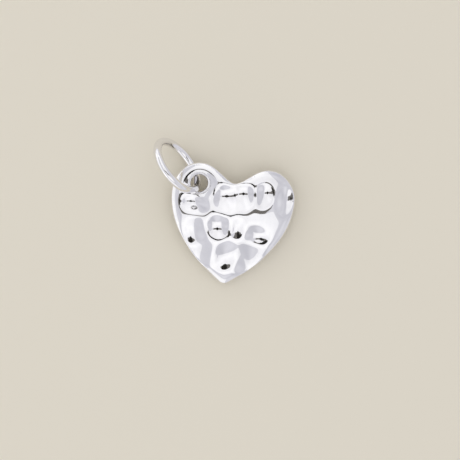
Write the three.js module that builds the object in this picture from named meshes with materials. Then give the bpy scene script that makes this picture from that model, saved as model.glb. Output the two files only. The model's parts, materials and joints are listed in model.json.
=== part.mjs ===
// A hammered silver heart charm on a jump ring, as it lies on a table.
// Millimetres, +Z up. The heart's long axis runs along Y, with its tip towards -Y.
// The origin is on the table, under the middle of the charm.

import * as THREE from 'three';

// Heart outline, right half, measured from a point on the heart's axis
const halfWidth = 6.12;
const widestY = 3.55;
const lobeTop = { x: 3.38, y: 6.6 };
const notchY = 4.95;
const notchEase = 0.85;
const tipY = -5.14;
const tipRound = { x: 0.45, y: 0.16 };
const sideAngle = 53;
const sideFullness = 0.415;
const lobeEase = 1.45;

// Heart section
const rimHeight = 0.42;
const backEdgeRadius = 0.18;
const shoulderWidth = 0.8;
const shoulderRise = 0.3;
const crownRise = 1;
const crownMiddleY = 0.8;
const crownReach = { x: 7.1, y: 6.6 };

// Hole in the left lobe, placed from the lobe's top, and the dish round it, placed from the hole
const holeDown = 2;
const holeOut = 0.12;
const holeEdgeRadius = 0.25;
const holeDish = { x: -0.25, y: 0.2, across: 3.1, depth: 0.45 };

// Jump ring
const wireDiameter = 0.8;
const ringInnerDiameter = 4.8;
const seamGap = 0.12;
const seamTurn = 64;

// How the ring lies in the hole: its plane's lean, its bearing and the turn of the wire that is in the hole
const ringLean = 64.4;
const ringBearing = -48.8;
const turnInHole = 32.6;
const wireClearance = 0.24;
const wireInHole = { x: -0.22, y: 0 };

// The plate is propped up at the hole: the steepest way up it, from the heart's axis towards the hole
const liftBearing = 20;

// Radius-like size of the ridges between the blows, and of the one round the dish
const ridgeRound = 0.2;
const dishRidgeRound = 0.5;

// Share of a bowl's reach that its round bottom takes. Beyond it the wall runs nearly straight.
const bowlBottom = 0.6;

// Hammer blows on the face: low point, size across, depth and turn of the long way.
// Two of them fell on the edge, so their low points are just outside.
const blows = [
  { x: -4.15, y: 2.85, long: 3, wide: 2.3, depth: 0.42, turn: 0 },
  { x: -0.8, y: 3.75, long: 3.1, wide: 3.5, depth: 0.52, turn: 90 },
  { x: -0.3, y: 3.95, long: 3, wide: 2.9, depth: 0.42, turn: 90 },
  { x: 0.85, y: 4.2, long: 3.1, wide: 3.1, depth: 0.46, turn: 90 },
  { x: 3.2, y: 4.55, long: 2.1, wide: 1.7, depth: 0.24, turn: 90 },
  { x: 5.5, y: 4.7, long: 1.9, wide: 1, depth: 0.12, turn: 90, bottom: 3 },
  { x: -1.3, y: 0.55, long: 2.8, wide: 2.9, depth: 0.4, turn: 90 },
  { x: 0.75, y: 0.5, long: 2.8, wide: 1.85, depth: 0.24, turn: 90 },
  { x: 3, y: 0, long: 2.9, wide: 2.2, depth: 0.3, turn: 0 },
  { x: -3.8, y: -0.5, long: 3.8, wide: 2.5, depth: 0.32, turn: 108 },
  { x: -3.1, y: -3.1, long: 2.6, wide: 2, depth: 0.18, turn: 122 },
  { x: -0.15, y: -2.85, long: 3.4, wide: 2.7, depth: 0.3, turn: 50, bottom: 1 },
  { x: 2.5, y: -3.4, long: 2.4, wide: 1.95, depth: 0.18, turn: 75 },
];

// Fineness of the faceted surfaces
const outlineSteps = 120;
const faceStep = 0.28;
const shoulderStops = [0.015, 0.06, 0.15, 0.3, 0.5, 0.75];
const roundingStops = [0, 0.35, 0.7, 1];
const patchRings = 3;
const wireSides = 14;
const ringSteps = 72;

const radians = THREE.MathUtils.degToRad;
const hole = { x: -(lobeTop.x + holeOut), y: lobeTop.y - holeDown };

// The heart's outline: notch, lobe top, widest point and tip, mirrored about the axis
function heartShape() {
  const roundness = 0.5523;
  const lobeOut = (halfWidth - lobeTop.x) * roundness;
  const lobeUp = (lobeTop.y - widestY) * roundness;
  const sideReach = (widestY - tipY) * sideFullness;
  const sideEnd = { x: tipRound.x, y: tipY + tipRound.y };
  const sidePull = {
    x: sideEnd.x + sideReach * Math.sin(radians(sideAngle)),
    y: sideEnd.y + sideReach * Math.cos(radians(sideAngle)),
  };
  const half = [
    [notchEase, notchY, lobeTop.x - lobeEase, lobeTop.y, lobeTop.x, lobeTop.y],
    [lobeTop.x + lobeOut, lobeTop.y, halfWidth, widestY + lobeUp, halfWidth, widestY],
    [halfWidth, widestY - sideReach, sidePull.x, sidePull.y, sideEnd.x, sideEnd.y],
    [sideEnd.x / 2, tipY, sideEnd.x / 4, tipY, 0, tipY],
  ];
  const shape = new THREE.Shape();
  shape.moveTo(0, notchY);
  for (const curve of half) shape.bezierCurveTo(...curve);
  for (let i = half.length - 1; i >= 0; i--) {
    const [ax, ay, bx, by] = half[i];
    const [endX, endY] = i > 0 ? half[i - 1].slice(4) : [0, notchY];
    shape.bezierCurveTo(-bx, by, -ax, ay, -endX, endY);
  }
  return shape;
}

// Points round the outline, counter-clockwise from above
const outline = heartShape().getSpacedPoints(outlineSteps).slice(0, -1).reverse();

// Distance of a point inside the heart from its outline
function edgeDistance(x, y) {
  let least = Infinity;
  outline.forEach((a, i) => {
    const b = outline[(i + 1) % outline.length];
    const dx = b.x - a.x;
    const dy = b.y - a.y;
    const along = THREE.MathUtils.clamp(((x - a.x) * dx + (y - a.y) * dy) / (dx * dx + dy * dy), 0, 1);
    least = Math.min(least, Math.hypot(x - a.x - along * dx, y - a.y - along * dy));
  });
  return least;
}

// Height of the face before hammering: a low crown that rolls over into the rim
function crownHeight(x, y) {
  const inward = Math.min(edgeDistance(x, y) / shoulderWidth, 1);
  const shoulder = shoulderRise * Math.sqrt(1 - (1 - inward) ** 2);
  const outX = x / crownReach.x;
  const outY = (y - crownMiddleY) / crownReach.y;
  return rimHeight + shoulder + crownRise * (1 - outX * outX - outY * outY);
}

// The lower of two heights, with the ridge where they meet rounded off
function softLower(a, b, round) {
  const near = Math.max(round - Math.abs(a - b), 0) / round;
  return Math.min(a, b) - near ** 3 * round / 6;
}

// A blow's bowl: round at the bottom, nearly straight up the wall, and as deep as it says at its ellipse
function bowlHeight(blow, x, y) {
  const turn = radians(blow.turn);
  const dx = x - blow.x;
  const dy = y - blow.y;
  const along = (dx * Math.cos(turn) + dy * Math.sin(turn)) / (blow.long / 2);
  const across = (dy * Math.cos(turn) - dx * Math.sin(turn)) / (blow.wide / 2);
  const rim = Math.hypot(1, blow.bottom);
  return blow.level + blow.depth * (Math.hypot(along, across, blow.bottom) - rim) / (rim - blow.bottom);
}

const dish = {
  x: hole.x + holeDish.x,
  y: hole.y + holeDish.y,
  long: holeDish.across,
  wide: holeDish.across,
  depth: holeDish.depth,
  turn: 0,
  round: dishRidgeRound,
};
const struck = [dish, ...blows].map((blow) => {
  return { bottom: bowlBottom, round: ridgeRound, ...blow, level: crownHeight(blow.x, blow.y) };
});

// Height of the finished, hammered face
function faceHeight(x, y) {
  return struck.reduce((height, blow) => {
    return softLower(height, bowlHeight(blow, x, y), blow.round);
  }, crownHeight(x, y));
}

// The ring as it lies: the way its wire runs in the hole, and the hole's place on it
const ringRadius = (ringInnerDiameter + wireDiameter) / 2;
const ringTurn = new THREE.Euler(-radians(ringLean), 0, radians(ringBearing), 'ZXY');
const inHole = new THREE.Vector3(Math.cos(radians(turnInHole)), Math.sin(radians(turnInHole)), 0);
const wireWay = new THREE.Vector3(-inHole.y, inHole.x, 0).applyEuler(ringTurn);
const holeFromRing = inHole.clone().multiplyScalar(ringRadius).applyEuler(ringTurn);

// The ring stands on the table on its low side, and lifts the plate at the hole
const plateAtHole = faceHeight(hole.x, hole.y);
const wireHeight = ringRadius * Math.sin(radians(ringLean)) * (1 - inHole.y) + wireDiameter / 2;
const liftWay = new THREE.Vector2(-Math.sin(radians(liftBearing)), Math.cos(radians(liftBearing)));
const restReach = Math.max(...outline.map((point) => liftWay.dot(hole) - liftWay.dot(point)));
const heartTilt = Math.asin((wireHeight - plateAtHole / 2) / restReach);
const tiltAxis = new THREE.Vector3(liftWay.y, -liftWay.x, 0);
const faceUp = new THREE.Vector3(0, 0, 1).applyAxisAngle(tiltAxis, heartTilt);

// The hole takes the wire at its slant through the plate
const slant = Math.acos(Math.abs(wireWay.dot(faceUp)));
const holeWall = plateAtHole - 2 * holeEdgeRadius;
const holeDiameter = (wireDiameter + 2 * wireClearance) / Math.cos(slant) + holeWall * Math.tan(slant);

// Points and triangles of one closed surface
class Skin {
  positions = [];
  index = [];

  addLoop(points) {
    const first = this.positions.length / 3;
    for (const point of points) this.positions.push(point.x, point.y, point.z);
    return points.map((_, i) => first + i);
  }

  addQuad(a, b, c, d) {
    this.index.push(a, b, c, a, c, d);
  }

  // Joins a loop to the next one on its left, all the way round
  addBand(loop, next) {
    loop.forEach((_, i) => {
      const j = (i + 1) % loop.length;
      this.addQuad(loop[i], loop[j], next[j], next[i]);
    });
  }

  point(id) {
    return new THREE.Vector3().fromArray(this.positions, id * 3);
  }

  toGeometry() {
    const geometry = new THREE.BufferGeometry();
    geometry.setAttribute('position', new THREE.Float32BufferAttribute(this.positions, 3));
    geometry.setIndex(this.index);
    geometry.computeVertexNormals();
    return geometry;
  }
}

const onFace = ({ x, y }) => new THREE.Vector3(x, y, faceHeight(x, y));
const inset = (point, depth) => point.clone().multiplyScalar(1 - depth / point.length());

// Loops of the back's rounded edge, from the flat back up to the rim
function addRim(skin) {
  const loops = roundingStops.map((stop) => {
    const angle = stop * Math.PI / 2;
    const depth = backEdgeRadius * (1 - Math.sin(angle));
    const height = backEdgeRadius * (1 - Math.cos(angle));
    return skin.addLoop(outline.map((point) => {
      const { x, y } = inset(point, depth);
      return new THREE.Vector3(x, y, height);
    }));
  });
  for (let k = 0; k + 1 < loops.length; k++) skin.addBand(loops[k], loops[k + 1]);
  return { backEdge: loops[0], rim: loops[loops.length - 1] };
}

// Loops of the face, from its edge over the shoulder to near the middle
function addFaceLoops(skin) {
  const loops = [outline, ...shoulderStops.map((stop) => outline.map((p) => inset(p, stop * shoulderWidth)))];
  const inner = outline.map((point) => inset(point, shoulderWidth));
  const rings = Math.round((halfWidth - shoulderWidth) / faceStep);
  for (let ring = rings; ring > 0; ring--) {
    loops.push(inner.map((point) => point.clone().multiplyScalar(ring / rings)));
  }
  return loops.map((loop) => skin.addLoop(loop.map(onFace)));
}

// The block of face cells that the hole and its rounded edge take up
function holeBlock(skin, loops) {
  const count = outline.length;
  const reach = holeDiameter / 2 + holeEdgeRadius + faceStep / 2;
  const middle = new THREE.Vector2(hole.x, hole.y);
  const nearest = outline.reduce((best, point, i) => {
    return point.angleTo(middle) < outline[best].angleTo(middle) ? i : best;
  }, 0);
  const block = { nearest, lowK: Infinity, highK: 0, lowI: Infinity, highI: -Infinity };
  loops.forEach((loop, k) => loop.forEach((id, i) => {
    const { x, y } = skin.point(id);
    if (Math.hypot(x - hole.x, y - hole.y) > reach) return;
    const offset = THREE.MathUtils.euclideanModulo(i - nearest + count / 2, count) - count / 2;
    block.lowK = Math.min(block.lowK, Math.max(k - 1, 0));
    block.highK = Math.max(block.highK, k + 1);
    block.lowI = Math.min(block.lowI, offset - 1);
    block.highI = Math.max(block.highI, offset + 1);
  }));
  return block;
}

// The face: cells outside the hole's block, a fan at the middle, and a patch from the block to the hole
function addFace(skin, loops) {
  const count = outline.length;
  const block = holeBlock(skin, loops);
  const at = (k, offset) => loops[k][THREE.MathUtils.euclideanModulo(block.nearest + offset, count)];
  for (let k = 0; k + 1 < loops.length; k++) {
    for (let i = -count / 2; i < count / 2; i++) {
      const inRows = k >= block.lowK && k < block.highK;
      const inBlock = inRows && i >= block.lowI && i < block.highI;
      if (!inBlock) skin.addQuad(at(k, i), at(k, i + 1), at(k + 1, i + 1), at(k + 1, i));
    }
  }
  const [middle] = skin.addLoop([onFace(new THREE.Vector2(0, 0))]);
  const innermost = loops[loops.length - 1];
  innermost.forEach((id, i) => skin.index.push(id, innermost[(i + 1) % count], middle));

  const border = [];
  for (let i = block.lowI; i < block.highI; i++) border.push(at(block.lowK, i));
  for (let k = block.lowK; k < block.highK; k++) border.push(at(k, block.highI));
  for (let i = block.highI; i > block.lowI; i--) border.push(at(block.highK, i));
  for (let k = block.highK; k > block.lowK; k--) border.push(at(k, block.lowI));
  return border;
}

// The hole: a patch of face round it, its rounded front edge, its wall and its rounded back edge
function addHole(skin, border) {
  const edgeAt = (angle, out) => ({ x: hole.x + out * Math.cos(angle), y: hole.y + out * Math.sin(angle) });
  const angles = border.map((id) => {
    const { x, y } = skin.point(id);
    return Math.atan2(y - hole.y, x - hole.x);
  });
  const radius = holeDiameter / 2;
  const mouth = angles.map((angle) => onFace(edgeAt(angle, radius + holeEdgeRadius)));
  let loop = border;
  const addNext = (points) => {
    const next = skin.addLoop(points);
    skin.addBand(loop, next);
    loop = next;
  };
  for (let ring = 1; ring < patchRings; ring++) {
    addNext(border.map((id, i) => onFace(skin.point(id).lerp(mouth[i], ring / patchRings))));
  }
  addNext(mouth);
  const rounding = roundingStops.map((stop) => {
    const angle = stop * Math.PI / 2;
    const out = radius + holeEdgeRadius * (1 - Math.sin(angle));
    return { out, fall: holeEdgeRadius * (1 - Math.cos(angle)) };
  });
  for (const { out, fall } of rounding.slice(1)) {
    addNext(angles.map((angle, i) => {
      const { x, y } = edgeAt(angle, out);
      return new THREE.Vector3(x, y, mouth[i].z - fall);
    }));
  }
  for (const { out, fall } of rounding.reverse()) {
    addNext(angles.map((angle) => {
      const { x, y } = edgeAt(angle, out);
      return new THREE.Vector3(x, y, fall);
    }));
  }
  return loop;
}

// The flat back, between the rim's edge and the hole's
function addBack(skin, backEdge, holeEdge) {
  const ids = [...backEdge, ...holeEdge];
  const flat = (id) => {
    const { x, y } = skin.point(id);
    return new THREE.Vector2(x, y);
  };
  const faces = THREE.ShapeUtils.triangulateShape(backEdge.map(flat), [holeEdge.map(flat)]);
  for (const face of faces) {
    const [a, b, c] = face.map((i) => ids[i]);
    const facesUp = THREE.ShapeUtils.area([a, b, c].map(flat)) > 0;
    skin.index.push(a, ...(facesUp ? [c, b] : [b, c]));
  }
}

function heartPlate() {
  const skin = new Skin();
  const { backEdge, rim } = addRim(skin);
  const loops = addFaceLoops(skin);
  skin.addBand(rim, loops[0]);
  const border = addFace(skin, loops);
  const holeEdge = addHole(skin, border);
  addBack(skin, backEdge, holeEdge);
  const silver = new THREE.MeshStandardMaterial({ color: '#e4e4e8', metalness: 1, roughness: 0.08 });
  const mesh = new THREE.Mesh(skin.toGeometry(), silver);
  mesh.name = 'heart_plate';
  return mesh;
}

// The wire of the ring, from one side of its butt seam round to the other
class RingPath extends THREE.Curve {
  getPoint(t, target = new THREE.Vector3()) {
    const halfGap = seamGap / 2 / ringRadius;
    const angle = radians(seamTurn) + halfGap + t * (2 * Math.PI - 2 * halfGap);
    return target.set(ringRadius * Math.cos(angle), ringRadius * Math.sin(angle), 0);
  }
}

function jumpRing() {
  const section = new THREE.Shape();
  section.absarc(0, 0, wireDiameter / 2, 0, 2 * Math.PI);
  const wire = new THREE.ExtrudeGeometry(section, {
    extrudePath: new RingPath(),
    steps: ringSteps,
    curveSegments: wireSides / 2,
  });
  const silver = new THREE.MeshStandardMaterial({ color: '#e2e2e6', metalness: 1, roughness: 0.1 });
  const mesh = new THREE.Mesh(wire, silver);
  mesh.name = 'jump_ring';
  return mesh;
}

const heart = heartPlate();
heart.quaternion.setFromAxisAngle(tiltAxis, heartTilt);

const wireMiddle = new THREE.Vector3(hole.x + wireInHole.x, hole.y + wireInHole.y, plateAtHole / 2);
const ring = jumpRing();
ring.rotation.copy(ringTurn);
ring.position.copy(wireMiddle.applyQuaternion(heart.quaternion)).sub(holeFromRing);

// The charm stands on the table with its middle over the origin
const charm = new THREE.Group();
charm.add(heart, ring);
const box = new THREE.Box3().setFromObject(charm, true);
const middle = box.getCenter(new THREE.Vector3());
charm.position.set(-middle.x, -middle.y, -box.min.z);

export default charm;
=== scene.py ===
"""Heart charm: a hammered silver heart on a jump ring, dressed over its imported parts."""

import json
import math

import bpy
import numpy as np
from bpy.props import FloatProperty, FloatVectorProperty, IntProperty, PointerProperty
from mathutils import Matrix, Vector, geometry


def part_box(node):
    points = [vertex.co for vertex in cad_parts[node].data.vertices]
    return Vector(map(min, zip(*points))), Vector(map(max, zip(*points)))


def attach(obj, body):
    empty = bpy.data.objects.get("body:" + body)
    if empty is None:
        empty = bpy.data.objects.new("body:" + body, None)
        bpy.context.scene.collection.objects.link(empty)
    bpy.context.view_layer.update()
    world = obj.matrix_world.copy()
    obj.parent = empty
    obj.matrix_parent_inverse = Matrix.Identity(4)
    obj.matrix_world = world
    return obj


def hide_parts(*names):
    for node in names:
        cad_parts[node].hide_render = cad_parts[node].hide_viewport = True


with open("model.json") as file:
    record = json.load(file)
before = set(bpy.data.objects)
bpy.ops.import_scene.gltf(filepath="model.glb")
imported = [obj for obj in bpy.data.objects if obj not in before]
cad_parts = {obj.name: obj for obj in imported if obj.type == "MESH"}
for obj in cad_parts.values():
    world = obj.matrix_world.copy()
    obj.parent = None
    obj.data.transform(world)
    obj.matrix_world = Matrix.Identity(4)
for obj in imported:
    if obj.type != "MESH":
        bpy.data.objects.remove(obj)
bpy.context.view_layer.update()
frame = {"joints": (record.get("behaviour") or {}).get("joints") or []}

bl_info = {
    "name": "Hammered heart charm",
    "version": (1, 0, 0),
    "blender": (4, 5, 0),
    "location": "View3D > Sidebar > Charm",
    "description": "Makes a hammered silver heart, its jump ring and the table they lie on",
    "category": "Object",
}

MM = 0.001

# Noise seldom leaves this range
NOISE_LOW = 0.3
NOISE_HIGH = 0.7

# Hammer blows on the heart's face, in millimetres and degrees.
# Each is its low point (x, y), its length, its width, its depth, the turn of its long way and how
# round its bottom is. The first is the dish round the hole.
BLOWS = [
    (-3.75, 4.8, 3.1, 3.1, 0.45, 0, 0.6),
    (-4.15, 2.85, 3, 2.3, 0.42, 0, 0.6),
    (-0.8, 3.75, 3.1, 3.5, 0.52, 90, 0.6),
    (-0.3, 3.95, 3, 2.9, 0.42, 90, 0.6),
    (0.85, 4.2, 3.1, 3.1, 0.46, 90, 0.6),
    (3.2, 4.55, 2.1, 1.7, 0.24, 90, 0.6),
    (5.55, 4.6, 2.6, 1.4, 0.16, 90, 3),
    (-1.3, 0.55, 2.8, 2.9, 0.4, 90, 0.6),
    (0.75, 0.5, 2.8, 1.85, 0.24, 90, 0.6),
    (3, 0, 2.9, 2.2, 0.3, 0, 0.6),
    (-3.8, -0.5, 3.8, 2.5, 0.32, 108, 0.6),
    (-3.1, -3.1, 2.6, 2, 0.18, 122, 0.6),
    (-0.15, -2.85, 3.4, 2.7, 0.3, 50, 1),
    (2.5, -3.4, 2.4, 1.95, 0.18, 75, 0.6),
]

# Soft boxes low down, whose light rolls over the rim and the ring: middle and size, in metres
LOW_BOXES = {
    "soft_box_low_back": ((-0.2, 0.38, 0.14), (0.6, 0.24)),
    "soft_box_low_left": ((-0.35, 0, 0.15), (0.7, 0.26)),
    "soft_box_low_front": ((-0.2, -0.36, 0.13), (0.6, 0.26)),
}


def linear(code):
    """Linear colour of an sRGB hex code."""
    parts = [int(code[i : i + 2], 16) / 255 for i in (1, 3, 5)]
    return [p / 12.92 if p <= 0.04045 else ((p + 0.055) / 1.055) ** 2.4 for p in parts] + [1]


def length(name, description, millimetres):
    """A length property whose default is given in millimetres."""
    return FloatProperty(
        name=name, description=description, default=millimetres * MM, unit="LENGTH", precision=5
    )


def pair(name, description, x, y):
    """A pair of lengths, across and along, whose defaults are given in millimetres."""
    return FloatVectorProperty(
        name=name, description=description, default=(x * MM, y * MM), size=2, unit="LENGTH", precision=5
    )


def angle(name, description, degrees):
    """An angle property whose default is given in degrees."""
    return FloatProperty(
        name=name, description=description, default=math.radians(degrees), subtype="ANGLE"
    )


def colour(name, description, code):
    """A colour property whose default is an sRGB hex code."""
    return FloatVectorProperty(
        name=name, description=description, default=linear(code), size=4, subtype="COLOR", min=0, max=1
    )


class HeartSettings(bpy.types.PropertyGroup):
    """Sizes and colours of the heart"""

    half_width: length("Half width", "From the heart's axis to its widest point", 6.12)
    widest_y: length("Widest point", "Height of the widest point above the heart's middle", 3.55)
    lobe_x: length("Lobe out", "From the axis to the top of a lobe", 3.38)
    lobe_y: length("Lobe up", "Height of the top of a lobe", 6.6)
    lobe_ease: length("Lobe ease", "How far the lobe's top runs level towards the notch", 1.45)
    notch_y: length("Notch", "Height of the notch between the lobes", 4.95)
    notch_ease: length("Notch ease", "How far the notch runs level", 0.85)
    tip_y: length("Tip", "Height of the tip, below the middle", -5.14)
    tip_out: length("Tip half width", "Half width of the rounded tip", 0.45)
    tip_up: length("Tip height", "Height of the rounded tip", 0.16)
    side_angle: angle("Side angle", "Angle between a side and the axis at the tip", 53)
    side_fullness: FloatProperty(
        name="Side fullness", description="How full the sides are", default=0.415
    )
    rim_height: length("Rim height", "Height of the rim at the edge of the face", 0.42)
    back_rounding: length("Back rounding", "Radius of the edge of the back", 0.18)
    shoulder_width: length("Shoulder width", "Width of the soft shoulder inside the rim", 0.8)
    shoulder_rise: length("Shoulder rise", "How far the shoulder rises above the rim", 0.3)
    crown_rise: length("Crown rise", "How far the face's middle rises above its edge", 1)
    crown_y: length("Crown middle", "Height of the crown's middle along the axis", 0.8)
    crown_reach: pair("Crown reach", "From the crown's middle to where it has come down", 7.1, 6.6)
    ridge_round: length("Ridge rounding", "Softness of the ridges between the blows", 0.2)
    dish_round: length("Dish rounding", "Softness of the edge of the dish round the hole", 0.5)
    polish: IntProperty(
        name="Polish", description="Passes of the polishing that rounds the ridges", default=16
    )
    rim_kept: length("Rim kept", "Width at the rim that the polishing leaves as it is", 0.1)
    hole: pair("Hole", "Middle of the hole for the ring", -3.5, 4.6)
    hole_diameter: length("Hole diameter", "Diameter of the hole for the ring", 1.65)
    hole_rounding: length("Hole rounding", "Radius of the hole's worn edges", 0.25)
    step: length("Step", "Size of the cells of the face", 0.055)
    bright: colour("Bright silver", "Colour where the polish is clean", "#f6f5f4")
    hazy: colour("Hazy silver", "Colour where the polish is hazy", "#ecebee")


class RingSettings(bpy.types.PropertyGroup):
    """Sizes and colours of the jump ring and how it lies"""

    wire: length("Wire diameter", "Thickness of the ring's wire", 0.8)
    inner: length("Inner diameter", "Diameter of the ring's eye", 4.8)
    seam: length("Seam", "Gap between the wire's two cut ends", 0.12)
    seam_turn: angle("Seam turn", "Where the seam is, round the ring", 64)
    lean: angle("Lean", "Angle between the ring's plane and the table", 64.4)
    bearing: angle("Bearing", "Turn of the ring about the upright", -48.8)
    steps: IntProperty(name="Steps", description="Steps round the ring", default=360)
    sides: IntProperty(name="Sides", description="Sides of the wire", default=64)
    bright: colour("Bright silver", "Colour between the tumbling marks", "#f5f4f3")
    hazy: colour("Hazy silver", "Colour in the tumbling marks", "#e9e8eb")


class StageSettings(bpy.types.PropertyGroup):
    """Table, light and camera"""

    aim: pair("Aim", "Place on the table that the middle of the picture shows", 1.102, -1.462)
    frame_width: length("Frame width", "Width of the table that the picture shows", 46)
    view_turn: angle("View turn", "Turn of the camera about the upright", 6.5)
    lens: FloatProperty(name="Lens", description="Focal length in millimetres", default=100)
    stone: colour("Stone", "Colour of the table", "#e9e2d0")
    box_height: length("Light height", "Height of the two soft boxes overhead", 250)
    box_width: length("Light width", "Width of the two soft boxes overhead", 237.5)
    box_shift: length("Light shift", "How far to the right they are set", 15)
    box_gap: length("Light gap", "From the middle to the near edge of each", 20)
    back_reach: length("Back reach", "From the middle to the far edge of the back one", 550)
    front_reach: length("Front reach", "From the middle to the far edge of the front one", 212.5)
    box_strength: FloatProperty(
        name="Light level",
        description="What a soft box's middle adds, in a mirror, to the room behind it",
        default=0.4,
    )
    box_fade: FloatProperty(
        name="Light fade",
        description="Brightness of a soft box's corners, as a share of its middle's",
        default=0.6,
    )
    box_colour: colour("Light colour", "Colour of the soft boxes", "#fffff5")
    bar_half: length("Bar half length", "Half the length of the grey bar between the boxes", 95)
    bar_colour: colour("Bar colour", "Colour of the bar", "#808084")
    front_spread: angle("Camera front", "Half the angle that the dark camera front fills overhead", 8)
    front_colour: colour("Camera colour", "Colour of the camera's front", "#0a0a0b")
    wall_dark: colour("Dark walls", "Colour of the room where it is darker", "#cfcfd6")
    wall_light: colour("Light walls", "Colour of the room where it is lighter", "#e9e9ef")


def add(tree, kind, inputs=(), **settings):
    """Adds a node with its settings, and fills its inputs with values or links."""
    node = tree.nodes.new(kind)
    for key, value in settings.items():
        setattr(node, key, value)
    for key, value in dict(inputs).items():
        if isinstance(value, bpy.types.NodeSocket):
            tree.links.new(value, node.inputs[key])
        else:
            node.inputs[key].default_value = value
    return node


def new_object(name, mesh):
    """A new object in the scene."""
    made = bpy.data.objects.new(name, mesh)
    bpy.context.scene.collection.objects.link(made)
    return made


def new_tree(name, inputs):
    """A new geometry tree with named inputs, and what it is given."""
    tree = bpy.data.node_groups.new(name, "GeometryNodeTree")
    tree.interface.new_socket("Geometry", in_out="OUTPUT", socket_type="NodeSocketGeometry")
    tree.interface.new_socket("Geometry", in_out="INPUT", socket_type="NodeSocketGeometry")
    for label, kind in inputs.items():
        tree.interface.new_socket(label, in_out="INPUT", socket_type="NodeSocket" + kind)
    return tree, add(tree, "NodeGroupInput").outputs


def finish_tree(tree, shape, material):
    """Ends a tree: smooth shading, realized instances and the material."""
    smooth = add(tree, "GeometryNodeSetShadeSmooth", {"Geometry": shape})
    real = add(tree, "GeometryNodeRealizeInstances", {"Geometry": smooth.outputs[0]})
    painted = add(tree, "GeometryNodeSetMaterial", {"Geometry": real.outputs[0], "Material": material})
    add(tree, "NodeGroupOutput", {"Geometry": painted.outputs[0]})


def run_tree(piece, tree, values):
    """Runs a tree on a piece and keeps the result as its plain mesh."""
    modifier = piece.modifiers.new(tree.name, "NODES")
    modifier.node_group = tree
    for item in tree.interface.items_tree:
        if item.in_out == "INPUT" and item.name in values:
            modifier[item.identifier] = values[item.name]
    graph = bpy.context.evaluated_depsgraph_get()
    mesh = bpy.data.meshes.new_from_object(piece.evaluated_get(graph))
    piece.modifiers.remove(modifier)
    piece.data = mesh
    mesh.name = piece.name


def put_in_place(piece, node, turn):
    """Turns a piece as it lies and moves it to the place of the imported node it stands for."""
    piece.data.transform(turn)
    corners = np.array([v.co for v in piece.data.vertices])
    low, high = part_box(node)
    middle = (corners.min(0) + corners.max(0)) / 2
    piece.data.transform(Matrix.Translation((low + high) / 2 - Vector(middle)))


def silver(name, spread, roughness, colours):
    """Polished silver whose haze comes and goes over a spread, and its skin."""
    material = bpy.data.materials.new(name)
    material.use_nodes = True
    tree = material.node_tree
    tree.nodes.clear()
    place = add(tree, "ShaderNodeTexCoord")
    haze = add(
        tree,
        "ShaderNodeTexNoise",
        {"Vector": place.outputs["Object"], "Scale": 1 / spread, "Detail": 3.0},
    )
    clean, hazed = roughness
    rough = add(
        tree,
        "ShaderNodeMapRange",
        {0: haze.outputs[0], 1: NOISE_LOW, 2: NOISE_HIGH, 3: clean, 4: hazed},
    )
    tone = add(
        tree,
        "ShaderNodeMix",
        {0: haze.outputs[0], 6: colours.bright, 7: colours.hazy},
        data_type="RGBA",
    )
    skin = add(
        tree,
        "ShaderNodeBsdfPrincipled",
        {"Base Color": tone.outputs[2], "Metallic": 1.0, "Roughness": rough.outputs[0]},
    )
    add(tree, "ShaderNodeOutputMaterial", {0: skin.outputs[0]})
    return material, skin


# Heart


def heart_outline(heart, count):
    """Evenly spaced points round the heart, counter-clockwise from above."""
    roundness = 0.5523
    fine_steps = 200
    lobe = Vector((heart.lobe_x, heart.lobe_y))
    widest = Vector((heart.half_width, heart.widest_y))
    notch = Vector((0, heart.notch_y))
    side_end = Vector((heart.tip_out, heart.tip_y + heart.tip_up))
    tip = Vector((0, heart.tip_y))
    reach = (heart.widest_y - heart.tip_y) * heart.side_fullness
    side_way = Vector((math.sin(heart.side_angle), math.cos(heart.side_angle)))
    curves = [
        (notch, notch + Vector((heart.notch_ease, 0)), lobe - Vector((heart.lobe_ease, 0)), lobe),
        (
            lobe,
            lobe + Vector(((widest.x - lobe.x) * roundness, 0)),
            widest + Vector((0, (lobe.y - widest.y) * roundness)),
            widest,
        ),
        (widest, widest - Vector((0, reach)), side_end + side_way * reach, side_end),
        (side_end, Vector((side_end.x / 2, tip.y)), Vector((side_end.x / 4, tip.y)), tip),
    ]
    right = []
    for curve in curves:
        right += geometry.interpolate_bezier(*curve, fine_steps)[:-1]
    right.append(tip)
    left = [Vector((-p.x, p.y)) for p in reversed(right[1:-1])]
    path = np.array([p.to_tuple() for p in reversed(right + left)])
    path = np.vstack([path, path[:1]])
    along = np.concatenate([[0], np.cumsum(np.hypot(*np.diff(path, axis=0).T))])
    places = np.linspace(0, along[-1], count, endpoint=False)
    return np.stack([np.interp(places, along, path[:, 0]), np.interp(places, along, path[:, 1])], -1)


def edge_distance(places, ring):
    """Distance of places from a closed ring of points, and whether they are inside it."""
    least = np.full(len(places), np.inf)
    inside = np.zeros(len(places), bool)
    x, y = places.T
    for a, b in zip(ring, np.roll(ring, -1, 0)):
        way = b - a
        t = np.clip(((places - a) @ way) / (way @ way), 0, 1)
        least = np.minimum(least, np.hypot(x - a[0] - t * way[0], y - a[1] - t * way[1]))
        crosses = (a[1] > y) != (b[1] > y)
        if way[1]:
            inside ^= crosses & (x < a[0] + (y - a[1]) / way[1] * way[0])
    return least, inside


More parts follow.
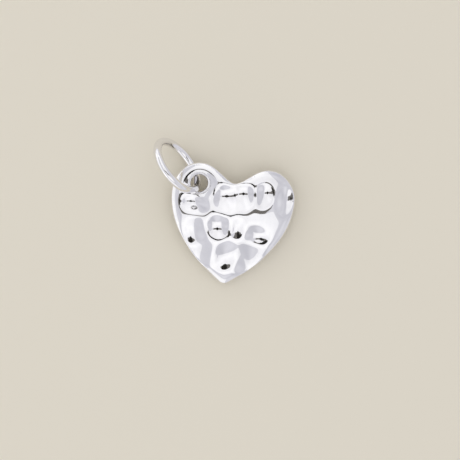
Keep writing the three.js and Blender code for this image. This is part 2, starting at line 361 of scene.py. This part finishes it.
class Blank:
    """Points and faces of the blank that the hammer strikes"""

    def __init__(self):
        self.points = []
        self.over = []
        self.drop = []
        self.struck = []
        self.faces = []

    def loop(self, flat, heights=0.0, over=None, drop=0.0, struck=False):
        """Adds a loop of points. A struck point takes the face's height over a place, less a drop."""
        first = len(self.points)
        heights = np.broadcast_to(heights, len(flat))
        self.points += [(x, y, z) for (x, y), z in zip(flat, heights)]
        self.over += [(x, y, 0) for x, y in (flat if over is None else over)]
        self.drop += [drop] * len(flat)
        self.struck += [struck] * len(flat)
        return list(range(first, len(self.points)))

    def bands(self, loops):
        """Joins each loop to the next one on its left."""
        for loop, following in zip(loops, loops[1:]):
            for i, a in enumerate(loop):
                j = (i + 1) % len(loop)
                self.faces.append((a, loop[j], following[j], following[i]))

    def fill(self, outer, inner, step, struck, upward):
        """Fills between an outer and an inner loop with even triangles."""
        inside_with_holes = 2
        too_close = 1e-9
        ids = outer + inner
        flat = np.array([self.points[i][:2] for i in ids])
        edges = []
        for ring in (range(len(outer)), range(len(outer), len(ids))):
            edges += [(a, ring[(k + 1) % len(ring)]) for k, a in enumerate(ring)]
        low, high = flat.min(0), flat.max(0)
        rows = np.arange(low[1], high[1], step * math.sqrt(3) / 2)
        grid = np.array(
            [
                (x + step / 2 * (r % 2), y)
                for r, y in enumerate(rows)
                for x in np.arange(low[0], high[0], step)
            ]
        )
        edge, inside = edge_distance(grid, flat[: len(outer)])
        hole = flat[len(outer) :]
        hole_edge, in_hole = edge_distance(grid, hole)
        grid = grid[inside & ~in_hole & (edge > step / 2) & (hole_edge > step / 2)]
        ids += self.loop(grid, self.points[outer[0]][2], struck=struck)
        places = [Vector(p) for p in np.vstack([flat, grid])]
        result = geometry.delaunay_2d_cdt(places, edges, [], inside_with_holes, too_close)
        origin = [ids[found[0]] for found in result[3]]
        placed = np.array([v.to_tuple() for v in result[0]])
        middles = np.array([placed[face].mean(0) for face in result[2]])
        _, in_hole = edge_distance(middles, hole)
        for face, hollow in zip(result[2], in_hole):
            corners = [origin[i] for i in face]
            if not hollow:
                self.faces.append(tuple(corners if upward else reversed(corners)))

    def mesh(self, name):
        """The blank as a mesh with what the hammering needs on its points."""
        mesh = bpy.data.meshes.new(name)
        mesh.from_pydata(self.points, [], self.faces)
        over = mesh.attributes.new("over", "FLOAT_VECTOR", "POINT")
        over.data.foreach_set("vector", np.ravel(self.over))
        drop = mesh.attributes.new("drop", "FLOAT", "POINT")
        drop.data.foreach_set("value", self.drop)
        struck = mesh.attributes.new("struck", "BOOLEAN", "POINT")
        struck.data.foreach_set("value", self.struck)
        return mesh


def heart_blank(heart):
    """The closed blank of the heart: rounded back edge, rim, face, hole and back."""
    blank = Blank()
    rim_steps = 720
    hole_steps = 192
    back_coarseness = 8
    outline = heart_outline(heart, rim_steps)
    away = np.linalg.norm(outline, axis=1, keepdims=True)

    def inset(depth):
        return outline * (1 - depth / away)

    rounding = heart.back_rounding
    turns = np.radians(np.linspace(0, 90, 9))
    loops = [
        blank.loop(inset(rounding * (1 - math.sin(t))), rounding * (1 - math.cos(t))) for t in turns
    ]
    back_edge = loops[0]
    # The shoulder is steepest at the rim, so its loops lie closest there
    shares = (0, 0.003, 0.012, 0.03, 0.055, 0.085, 0.12, 0.16)
    for share in shares:
        loops.append(blank.loop(inset(share * heart.shoulder_width), heart.rim_height, struck=True))
    blank.bands(loops)
    face_edge = loops[-1]

    middle = np.array(heart.hole)
    around = np.linspace(0, -2 * math.pi, hole_steps, endpoint=False)
    ways = np.stack([np.cos(around), np.sin(around)], -1)
    radius = heart.hole_diameter / 2
    worn = heart.hole_rounding
    mouth = middle + ways * (radius + worn)
    loops = []
    for t in turns:
        flat = middle + ways * (radius + worn * (1 - math.sin(t)))
        drop = worn * (1 - math.cos(t))
        loops.append(blank.loop(flat, heart.rim_height, over=mouth, drop=drop, struck=True))
    for t in reversed(turns):
        flat = middle + ways * (radius + worn * (1 - math.sin(t)))
        loops.append(blank.loop(flat, worn * (1 - math.cos(t))))
    blank.bands(loops)

    blank.fill(face_edge, loops[0], heart.step, struck=True, upward=True)
    blank.fill(back_edge, loops[-1], heart.step * back_coarseness, struck=False, upward=False)
    return blank.mesh("heart_plate_silver"), outline


def blow_points(heart):
    """The blows as points with their sizes, for the hammering tree."""
    mesh = bpy.data.meshes.new("blows")
    places = [(x * MM, y * MM, 0) for x, y, *_ in BLOWS]
    mesh.from_pydata(places, [], [])
    over = mesh.attributes.new("over", "FLOAT_VECTOR", "POINT")
    over.data.foreach_set("vector", np.ravel(places))
    across = mesh.attributes.new("across", "FLOAT_VECTOR", "POINT")
    across.data.foreach_set("vector", np.ravel([[s * MM for s in blow[2:5]] for blow in BLOWS]))
    turn = mesh.attributes.new("turn", "FLOAT", "POINT")
    turn.data.foreach_set("value", [math.radians(blow[5]) for blow in BLOWS])
    bottom = mesh.attributes.new("bottom", "FLOAT", "POINT")
    bottom.data.foreach_set("value", [blow[6] for blow in BLOWS])
    rounding = mesh.attributes.new("rounding", "FLOAT", "POINT")
    rounding.data.foreach_set("value", [heart.dish_round] + [heart.ridge_round] * (len(BLOWS) - 1))
    return new_object("blows", mesh)


def crown_height(tree, given, over, to_edge):
    """Height of the face before the blows: its rim, its soft shoulder and its crown."""
    outward = add(
        tree,
        "ShaderNodeMapRange",
        {0: to_edge, 1: 0.0, 2: given["Shoulder width"], 3: 1.0, 4: 0.0},
    )
    square = add(tree, "ShaderNodeMath", {0: outward.outputs[0], 1: 2.0}, operation="POWER")
    under = add(tree, "ShaderNodeMath", {0: 1.0, 1: square.outputs[0]}, operation="SUBTRACT")
    swell = add(tree, "ShaderNodeMath", {0: under.outputs[0]}, operation="SQRT")
    shoulder = add(
        tree,
        "ShaderNodeMath",
        {0: swell.outputs[0], 1: given["Shoulder rise"], 2: given["Rim height"]},
        operation="MULTIPLY_ADD",
    )
    off = add(tree, "ShaderNodeVectorMath", {0: over, 1: given["Crown middle"]}, operation="SUBTRACT")
    share = add(
        tree, "ShaderNodeVectorMath", {0: off.outputs[0], 1: given["Crown reach"]}, operation="DIVIDE"
    )
    fall = add(
        tree,
        "ShaderNodeVectorMath",
        {0: share.outputs[0], 1: share.outputs[0]},
        operation="DOT_PRODUCT",
    )
    left = add(tree, "ShaderNodeMath", {0: 1.0, 1: fall.outputs["Value"]}, operation="SUBTRACT")
    crown = add(
        tree,
        "ShaderNodeMath",
        {0: left.outputs[0], 1: given["Crown rise"], 2: shoulder.outputs[0]},
        operation="MULTIPLY_ADD",
    )
    return crown.outputs[0]


def pick_blow(tree, blows, index):
    """What one of the blows carries, by name."""
    kinds = dict.fromkeys(("over", "across"), "FLOAT_VECTOR")
    kinds.update(dict.fromkeys(("turn", "bottom", "rounding", "level"), "FLOAT"))
    blow = {}
    for name, kind in kinds.items():
        stored = add(tree, "GeometryNodeInputNamedAttribute", {"Name": name}, data_type=kind)
        picked = add(
            tree,
            "GeometryNodeSampleIndex",
            {"Geometry": blows, "Value": stored.outputs[0], "Index": index},
            data_type=kind,
            domain="POINT",
        )
        blow[name] = picked.outputs[0]
    return blow


def bowl_height(tree, blow, over):
    """Height of a blow's bowl, which is round at its bottom and runs straighter towards its rim."""
    away = add(tree, "ShaderNodeVectorMath", {0: over, 1: blow["over"]}, operation="SUBTRACT")
    back = add(tree, "ShaderNodeMath", {0: blow["turn"], 1: -1.0}, operation="MULTIPLY")
    turned = add(
        tree,
        "ShaderNodeVectorRotate",
        {"Vector": away.outputs[0], "Angle": back.outputs[0]},
        rotation_type="Z_AXIS",
    )
    half = add(tree, "ShaderNodeVectorMath", {0: blow["across"], "Scale": 0.5}, operation="SCALE")
    reach = add(
        tree, "ShaderNodeVectorMath", {0: turned.outputs[0], 1: half.outputs[0]}, operation="DIVIDE"
    )
    bottom = add(tree, "ShaderNodeCombineXYZ", {2: blow["bottom"]})
    slope = add(
        tree, "ShaderNodeVectorMath", {0: reach.outputs[0], 1: bottom.outputs[0]}, operation="ADD"
    )
    climb = add(tree, "ShaderNodeVectorMath", {0: slope.outputs[0]}, operation="LENGTH")
    side = add(tree, "ShaderNodeCombineXYZ", {0: 1.0, 2: blow["bottom"]})
    rim = add(tree, "ShaderNodeVectorMath", {0: side.outputs[0]}, operation="LENGTH")
    below = add(
        tree,
        "ShaderNodeMath",
        {0: climb.outputs["Value"], 1: rim.outputs["Value"]},
        operation="SUBTRACT",
    )
    whole = add(
        tree, "ShaderNodeMath", {0: rim.outputs["Value"], 1: blow["bottom"]}, operation="SUBTRACT"
    )
    sunk = add(tree, "ShaderNodeMath", {0: below.outputs[0], 1: whole.outputs[0]}, operation="DIVIDE")
    depth = add(tree, "ShaderNodeSeparateXYZ", {0: blow["across"]})
    bowl = add(
        tree,
        "ShaderNodeMath",
        {0: sunk.outputs[0], 1: depth.outputs["Z"], 2: blow["level"]},
        operation="MULTIPLY_ADD",
    )
    return bowl.outputs[0]


def hammering_tree():
    """Raises the face to its crown and shoulder, then lets each blow press its bowl into it."""
    tree, given = new_tree(
        "Hammered face",
        {
            "Outline": "Object",
            "Blows": "Object",
            "Rim height": "Float",
            "Rim kept": "Float",
            "Shoulder width": "Float",
            "Shoulder rise": "Float",
            "Crown rise": "Float",
            "Crown middle": "Vector",
            "Crown reach": "Vector",
            "Polish": "Int",
            "Silver": "Material",
        },
    )
    over = add(tree, "GeometryNodeInputNamedAttribute", {"Name": "over"}, data_type="FLOAT_VECTOR")
    height = add(tree, "GeometryNodeInputNamedAttribute", {"Name": "height"}, data_type="FLOAT")
    edge = add(tree, "GeometryNodeObjectInfo", {"Object": given["Outline"]})
    near = add(
        tree,
        "GeometryNodeProximity",
        {"Geometry": edge.outputs["Geometry"], "Sample Position": over.outputs[0]},
        target_element="EDGES",
    )

    # The same crown gives the face its height and each blow its level
    crown = crown_height(tree, given, over.outputs[0], near.outputs["Distance"])
    raised = add(
        tree,
        "GeometryNodeStoreNamedAttribute",
        {"Geometry": given["Geometry"], "Name": "height", "Value": crown},
        domain="POINT",
    )
    marks = add(tree, "GeometryNodeObjectInfo", {"Object": given["Blows"]})
    levelled = add(
        tree,
        "GeometryNodeStoreNamedAttribute",
        {"Geometry": marks.outputs["Geometry"], "Name": "level", "Value": crown},
        domain="POINT",
    )

    # One blow after another
    begin = tree.nodes.new("GeometryNodeRepeatInput")
    end = tree.nodes.new("GeometryNodeRepeatOutput")
    begin.pair_with_output(end)
    count = add(tree, "GeometryNodeAttributeDomainSize", {"Geometry": levelled.outputs[0]})
    tree.links.new(count.outputs["Point Count"], begin.inputs["Iterations"])
    tree.links.new(raised.outputs[0], begin.inputs["Geometry"])
    blow = pick_blow(tree, levelled.outputs[0], begin.outputs["Iteration"])
    bowl = bowl_height(tree, blow, over.outputs[0])
    pressed = add(
        tree,
        "ShaderNodeMath",
        {0: height.outputs[0], 1: bowl, 2: blow["rounding"]},
        operation="SMOOTH_MIN",
    )
    after = add(
        tree,
        "GeometryNodeStoreNamedAttribute",
        {"Geometry": begin.outputs["Geometry"], "Name": "height", "Value": pressed.outputs[0]},
        domain="POINT",
    )
    tree.links.new(after.outputs[0], end.inputs["Geometry"])

    # Polishing rounds the ridges, but not the rim
    inner = add(
        tree,
        "ShaderNodeMapRange",
        {0: near.outputs["Distance"], 1: given["Rim kept"], 2: given["Shoulder width"], 3: 0.0, 4: 1.0},
    )
    worn = add(
        tree,
        "GeometryNodeBlurAttribute",
        {0: height.outputs[0], "Iterations": given["Polish"], "Weight": inner.outputs[0]},
        data_type="FLOAT",
    )
    polished = add(
        tree,
        "GeometryNodeStoreNamedAttribute",
        {"Geometry": end.outputs["Geometry"], "Name": "height", "Value": worn.outputs[0]},
        domain="POINT",
    )

    # The struck points take their height
    drop = add(tree, "GeometryNodeInputNamedAttribute", {"Name": "drop"}, data_type="FLOAT")
    struck = add(tree, "GeometryNodeInputNamedAttribute", {"Name": "struck"}, data_type="BOOLEAN")
    place = add(tree, "ShaderNodeSeparateXYZ", {0: add(tree, "GeometryNodeInputPosition").outputs[0]})
    top = add(tree, "ShaderNodeMath", {0: height.outputs[0], 1: drop.outputs[0]}, operation="SUBTRACT")
    lifted = add(
        tree,
        "ShaderNodeCombineXYZ",
        {0: place.outputs[0], 1: place.outputs[1], 2: top.outputs[0]},
    )
    formed = add(
        tree,
        "GeometryNodeSetPosition",
        {
            "Geometry": polished.outputs[0],
            "Selection": struck.outputs[0],
            "Position": lifted.outputs[0],
        },
    )
    finish_tree(tree, formed.outputs[0], given["Silver"])
    return tree


def hammered_silver(heart):
    """Sterling silver, hammered and barrel-polished: a near mirror with faint haze and ripples."""
    # Polishing haze comes and goes over about 0.6 mm
    material, skin = silver("sterling_silver_hammered_polished", 0.6 * MM, (0.03, 0.06), heart)
    # The hammer's own polish leaves ripples about 0.35 mm apart and less than a micron high
    tree = material.node_tree
    place = add(tree, "ShaderNodeTexCoord")
    ripple = add(
        tree,
        "ShaderNodeTexNoise",
        {"Vector": place.outputs["Object"], "Scale": 1 / (0.35 * MM), "Detail": 2.0},
    )
    bump = add(
        tree,
        "ShaderNodeBump",
        {"Height": ripple.outputs[0], "Distance": 0.0008 * MM, "Strength": 1.0},
    )
    tree.links.new(bump.outputs[0], skin.inputs["Normal"])
    return material


class CHARM_OT_heart(bpy.types.Operator):
    """Makes the hammered heart"""

    bl_idname = "charm.heart"
    bl_label = "Heart"

    def execute(self, context):
        heart = context.scene.charm_heart
        mesh, outline = heart_blank(heart)
        piece = new_object("heart_plate_silver", mesh)
        ring = bpy.data.meshes.new("heart_outline")
        count = len(outline)
        edges = [(i, (i + 1) % count) for i in range(count)]
        ring.from_pydata([(x, y, 0) for x, y in outline], edges, [])
        edge = new_object("heart_outline", ring)
        blows = blow_points(heart)
        run_tree(
            piece,
            hammering_tree(),
            {
                "Outline": edge,
                "Blows": blows,
                "Rim height": heart.rim_height,
                "Rim kept": heart.rim_kept,
                "Shoulder width": heart.shoulder_width,
                "Shoulder rise": heart.shoulder_rise,
                "Crown rise": heart.crown_rise,
                "Crown middle": (0, heart.crown_y, 0),
                "Crown reach": (*heart.crown_reach, 1),
                "Polish": heart.polish,
                "Silver": hammered_silver(heart),
            },
        )
        bpy.data.objects.remove(edge)
        bpy.data.objects.remove(blows)
        for name in ("over", "drop", "struck", "height"):
            piece.data.attributes.remove(piece.data.attributes[name])
        up = Vector(frame["joints"][0]["axis"])
        tilt = Vector((0, 0, 1)).rotation_difference(up)
        put_in_place(piece, "heart_plate", tilt.to_matrix().to_4x4())
        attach(piece, "heart")
        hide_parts("heart_plate")
        return {"FINISHED"}


# Jump ring


def ring_tree():
    """A round wire bent almost full circle, with a butt seam."""
    tree, given = new_tree(
        "Jump ring",
        {
            "Ring radius": "Float",
            "Wire radius": "Float",
            "Start": "Float",
            "Sweep": "Float",
            "Steps": "Int",
            "Sides": "Int",
            "Silver": "Material",
        },
    )
    bend = add(
        tree,
        "GeometryNodeCurveArc",
        {
            "Resolution": given["Steps"],
            "Radius": given["Ring radius"],
            "Start Angle": given["Start"],
            "Sweep Angle": given["Sweep"],
        },
        mode="RADIUS",
    )
    section = add(
        tree,
        "GeometryNodeCurvePrimitiveCircle",
        {"Resolution": given["Sides"], "Radius": given["Wire radius"]},
        mode="RADIUS",
    )
    wire = add(
        tree,
        "GeometryNodeCurveToMesh",
        {"Curve": bend.outputs[0], "Profile Curve": section.outputs[0], "Fill Caps": True},
    )
    finish_tree(tree, wire.outputs[0], given["Silver"])
    return tree


def drawn_silver(ring):
    """Sterling silver wire, drawn and tumbled: bright, with a little more haze than the heart."""
    # Tumbling leaves soft marks about 0.25 mm across
    material, _ = silver("sterling_silver_drawn_wire", 0.25 * MM, (0.03, 0.08), ring)
    return material


class CHARM_OT_ring(bpy.types.Operator):
    """Makes the jump ring"""

    bl_idname = "charm.ring"
    bl_label = "Jump ring"

    def execute(self, context):
        ring = context.scene.charm_ring
        piece = new_object("jump_ring_silver", bpy.data.meshes.new("jump_ring_silver"))
        radius = (ring.inner + ring.wire) / 2
        seam = ring.seam / radius
        run_tree(
            piece,
            ring_tree(),
            {
                "Ring radius": radius,
                "Wire radius": ring.wire / 2,
                "Start": ring.seam_turn + seam / 2,
                "Sweep": 2 * math.pi - seam,
                "Steps": ring.steps,
                "Sides": ring.sides,
                "Silver": drawn_silver(ring),
            },
        )
        # The wire's cut ends keep their sharp edges
        piece.data.set_sharp_from_angle(angle=math.radians(45))
        lean = Matrix.Rotation(ring.bearing, 4, "Z") @ Matrix.Rotation(-ring.lean, 4, "X")
        put_in_place(piece, "jump_ring", lean)
        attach(piece, "ring")
        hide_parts("jump_ring")
        return {"FINISHED"}


# Table, light and camera


def matte(name, shade):
    """A plain matte finish for the stage."""
    roughness = 0.6
    material = bpy.data.materials.new(name)
    material.use_nodes = True
    skin = material.node_tree.nodes["Principled BSDF"]
    skin.inputs["Base Color"].default_value = shade
    skin.inputs["Roughness"].default_value = roughness
    return material


def flat_piece(name, points, material):
    """A flat piece of the stage."""
    mesh = bpy.data.meshes.new(name)
    mesh.from_pydata(points, [], [tuple(range(len(points)))])
    mesh.materials.append(material)
    made = new_object(name, mesh)


def soft_box(stage, name, aim, middle, facing, size):
    """A panel that is brightest in its middle. In a mirror it adds to the room behind it."""
    lamp = bpy.data.lights.new(name, "AREA")
    lamp.shape = "RECTANGLE"
    lamp.size, lamp.size_y = size
    lamp.energy = stage.box_strength * math.pi * lamp.size * lamp.size_y
    lamp.color = stage.box_colour[:3]
    lamp.use_nodes = True
    tree = lamp.node_tree
    # Places on the panel run from 0 to 1 each way
    place = add(tree, "ShaderNodeNewGeometry")
    centre = (0.5, 0.5, 0.0)
    full_to = 0.1
    faded_from = 0.6
    away = add(
        tree,
        "ShaderNodeVectorMath",
        {0: place.outputs["Parametric"], 1: centre},
        operation="DISTANCE",
    )
    fade = add(
        tree,
        "ShaderNodeMapRange",
        {0: away.outputs["Value"], 1: full_to, 2: faded_from, 3: 1.0, 4: stage.box_fade},
    )
    tree.links.new(fade.outputs[0], tree.nodes["Emission"].inputs["Strength"])
    lit = new_object(name, lamp)
    turn = Vector(facing).to_track_quat("-Z", "Y").to_matrix().to_4x4()
    lit.matrix_world = aim @ Matrix.Translation(middle) @ turn


def add_table(stage):
    """A wide table, a hair below the charm."""
    reach = 1.0
    sink = 0.01 * MM
    stone = matte("honed_pale_stone", stage.stone)
    corners = ((-reach, -reach), (reach, -reach), (reach, reach), (-reach, reach))
    flat_piece("table", [(x, y, -sink) for x, y in corners], stone)


def add_camera(scene, stage, aim):
    """A camera straight above, and its distance from the table."""
    camera = bpy.data.cameras.new("camera")
    camera.lens = stage.lens
    camera.sensor_width = 36
    camera.clip_start = 1 * MM
    distance = stage.frame_width * camera.lens / camera.sensor_width
    eye = new_object("camera", camera)
    eye.matrix_world = aim @ Matrix.Translation((0, 0, distance))
    scene.camera = eye
    return distance


def add_lights(stage, aim, distance):
    """Soft boxes overhead and low down, with a grey bar and the dark camera between the upper two."""
    height = stage.box_height
    near = stage.box_gap
    for name, side, far in (
        ("soft_box_back", 1, stage.back_reach),
        ("soft_box_front", -1, stage.front_reach),
    ):
        middle = (stage.box_shift, side * (near + far) / 2, height)
        soft_box(stage, name, aim, middle, (0, 0, -1), (stage.box_width, far - near))
    for name, (middle, size) in LOW_BOXES.items():
        soft_box(stage, name, aim, middle, -Vector(middle), size)

    half = stage.bar_half
    corners = ((-half, near), (half, near), (half, -near), (-half, -near))
    grey = matte("grey_bar", stage.bar_colour)
    flat_piece("grey_bar", [aim @ Vector((x, y, height)) for x, y in corners], grey)
    radius = distance * math.tan(stage.front_spread)
    behind = distance + 2 * MM
    turns = np.linspace(0, -2 * math.pi, 64, endpoint=False)
    disc = [(radius * math.cos(t), radius * math.sin(t), behind) for t in turns]
    black = matte("black_camera_front", stage.front_colour)
    flat_piece("camera_front", [aim @ Vector(point) for point in disc], black)


def add_room(scene, stage):
    """A pale room whose walls are a little lighter here and darker there."""
    patchiness = 2.5
    world = bpy.data.worlds.new("pale_studio")
    world.use_nodes = True
    room = world.node_tree
    way = add(room, "ShaderNodeTexCoord")
    patches = add(
        room,
        "ShaderNodeTexNoise",
        {"Vector": way.outputs["Generated"], "Scale": patchiness, "Detail": 1.0},
    )
    walls = add(
        room,
        "ShaderNodeMapRange",
        {0: patches.outputs[0], 1: NOISE_LOW, 2: NOISE_HIGH, 3: 0.0, 4: 1.0},
    )
    paint = add(
        room,
        "ShaderNodeMix",
        {0: walls.outputs[0], 6: stage.wall_dark, 7: stage.wall_light},
        data_type="RGBA",
    )
    room.links.new(paint.outputs[2], room.nodes["Background"].inputs["Color"])
    scene.world = world


class CHARM_OT_stage(bpy.types.Operator):
    """Makes the table, the soft boxes and the camera"""

    bl_idname = "charm.stage"
    bl_label = "Table, light and camera"

    def execute(self, context):
        scene = context.scene
        stage = scene.charm_stage
        aim = Matrix.Translation((*stage.aim, 0)) @ Matrix.Rotation(stage.view_turn, 4, "Z")
        add_table(stage)
        distance = add_camera(scene, stage, aim)
        add_lights(stage, aim, distance)
        add_room(scene, stage)
        scene.view_settings.view_transform = "Standard"
        return {"FINISHED"}


class CHARM_PT_panel(bpy.types.Panel):
    """Lists the pieces of the charm"""

    bl_idname = "CHARM_PT_panel"
    bl_label = "Heart charm"
    bl_space_type = "VIEW_3D"
    bl_region_type = "UI"
    bl_category = "Charm"

    def draw(self, context):
        for operator in (CHARM_OT_heart, CHARM_OT_ring, CHARM_OT_stage):
            self.layout.operator(operator.bl_idname)


CLASSES = (
    HeartSettings,
    RingSettings,
    StageSettings,
    CHARM_OT_heart,
    CHARM_OT_ring,
    CHARM_OT_stage,
    CHARM_PT_panel,
)


def register():
    for made in CLASSES:
        bpy.utils.register_class(made)
    bpy.types.Scene.charm_heart = PointerProperty(type=HeartSettings)
    bpy.types.Scene.charm_ring = PointerProperty(type=RingSettings)
    bpy.types.Scene.charm_stage = PointerProperty(type=StageSettings)


def unregister():
    del bpy.types.Scene.charm_stage
    del bpy.types.Scene.charm_ring
    del bpy.types.Scene.charm_heart
    for made in reversed(CLASSES):
        bpy.utils.unregister_class(made)


def main():
    register()
    bpy.ops.charm.heart()
    bpy.ops.charm.ring()
    bpy.ops.charm.stage()


if __name__ == "__main__":
    main()
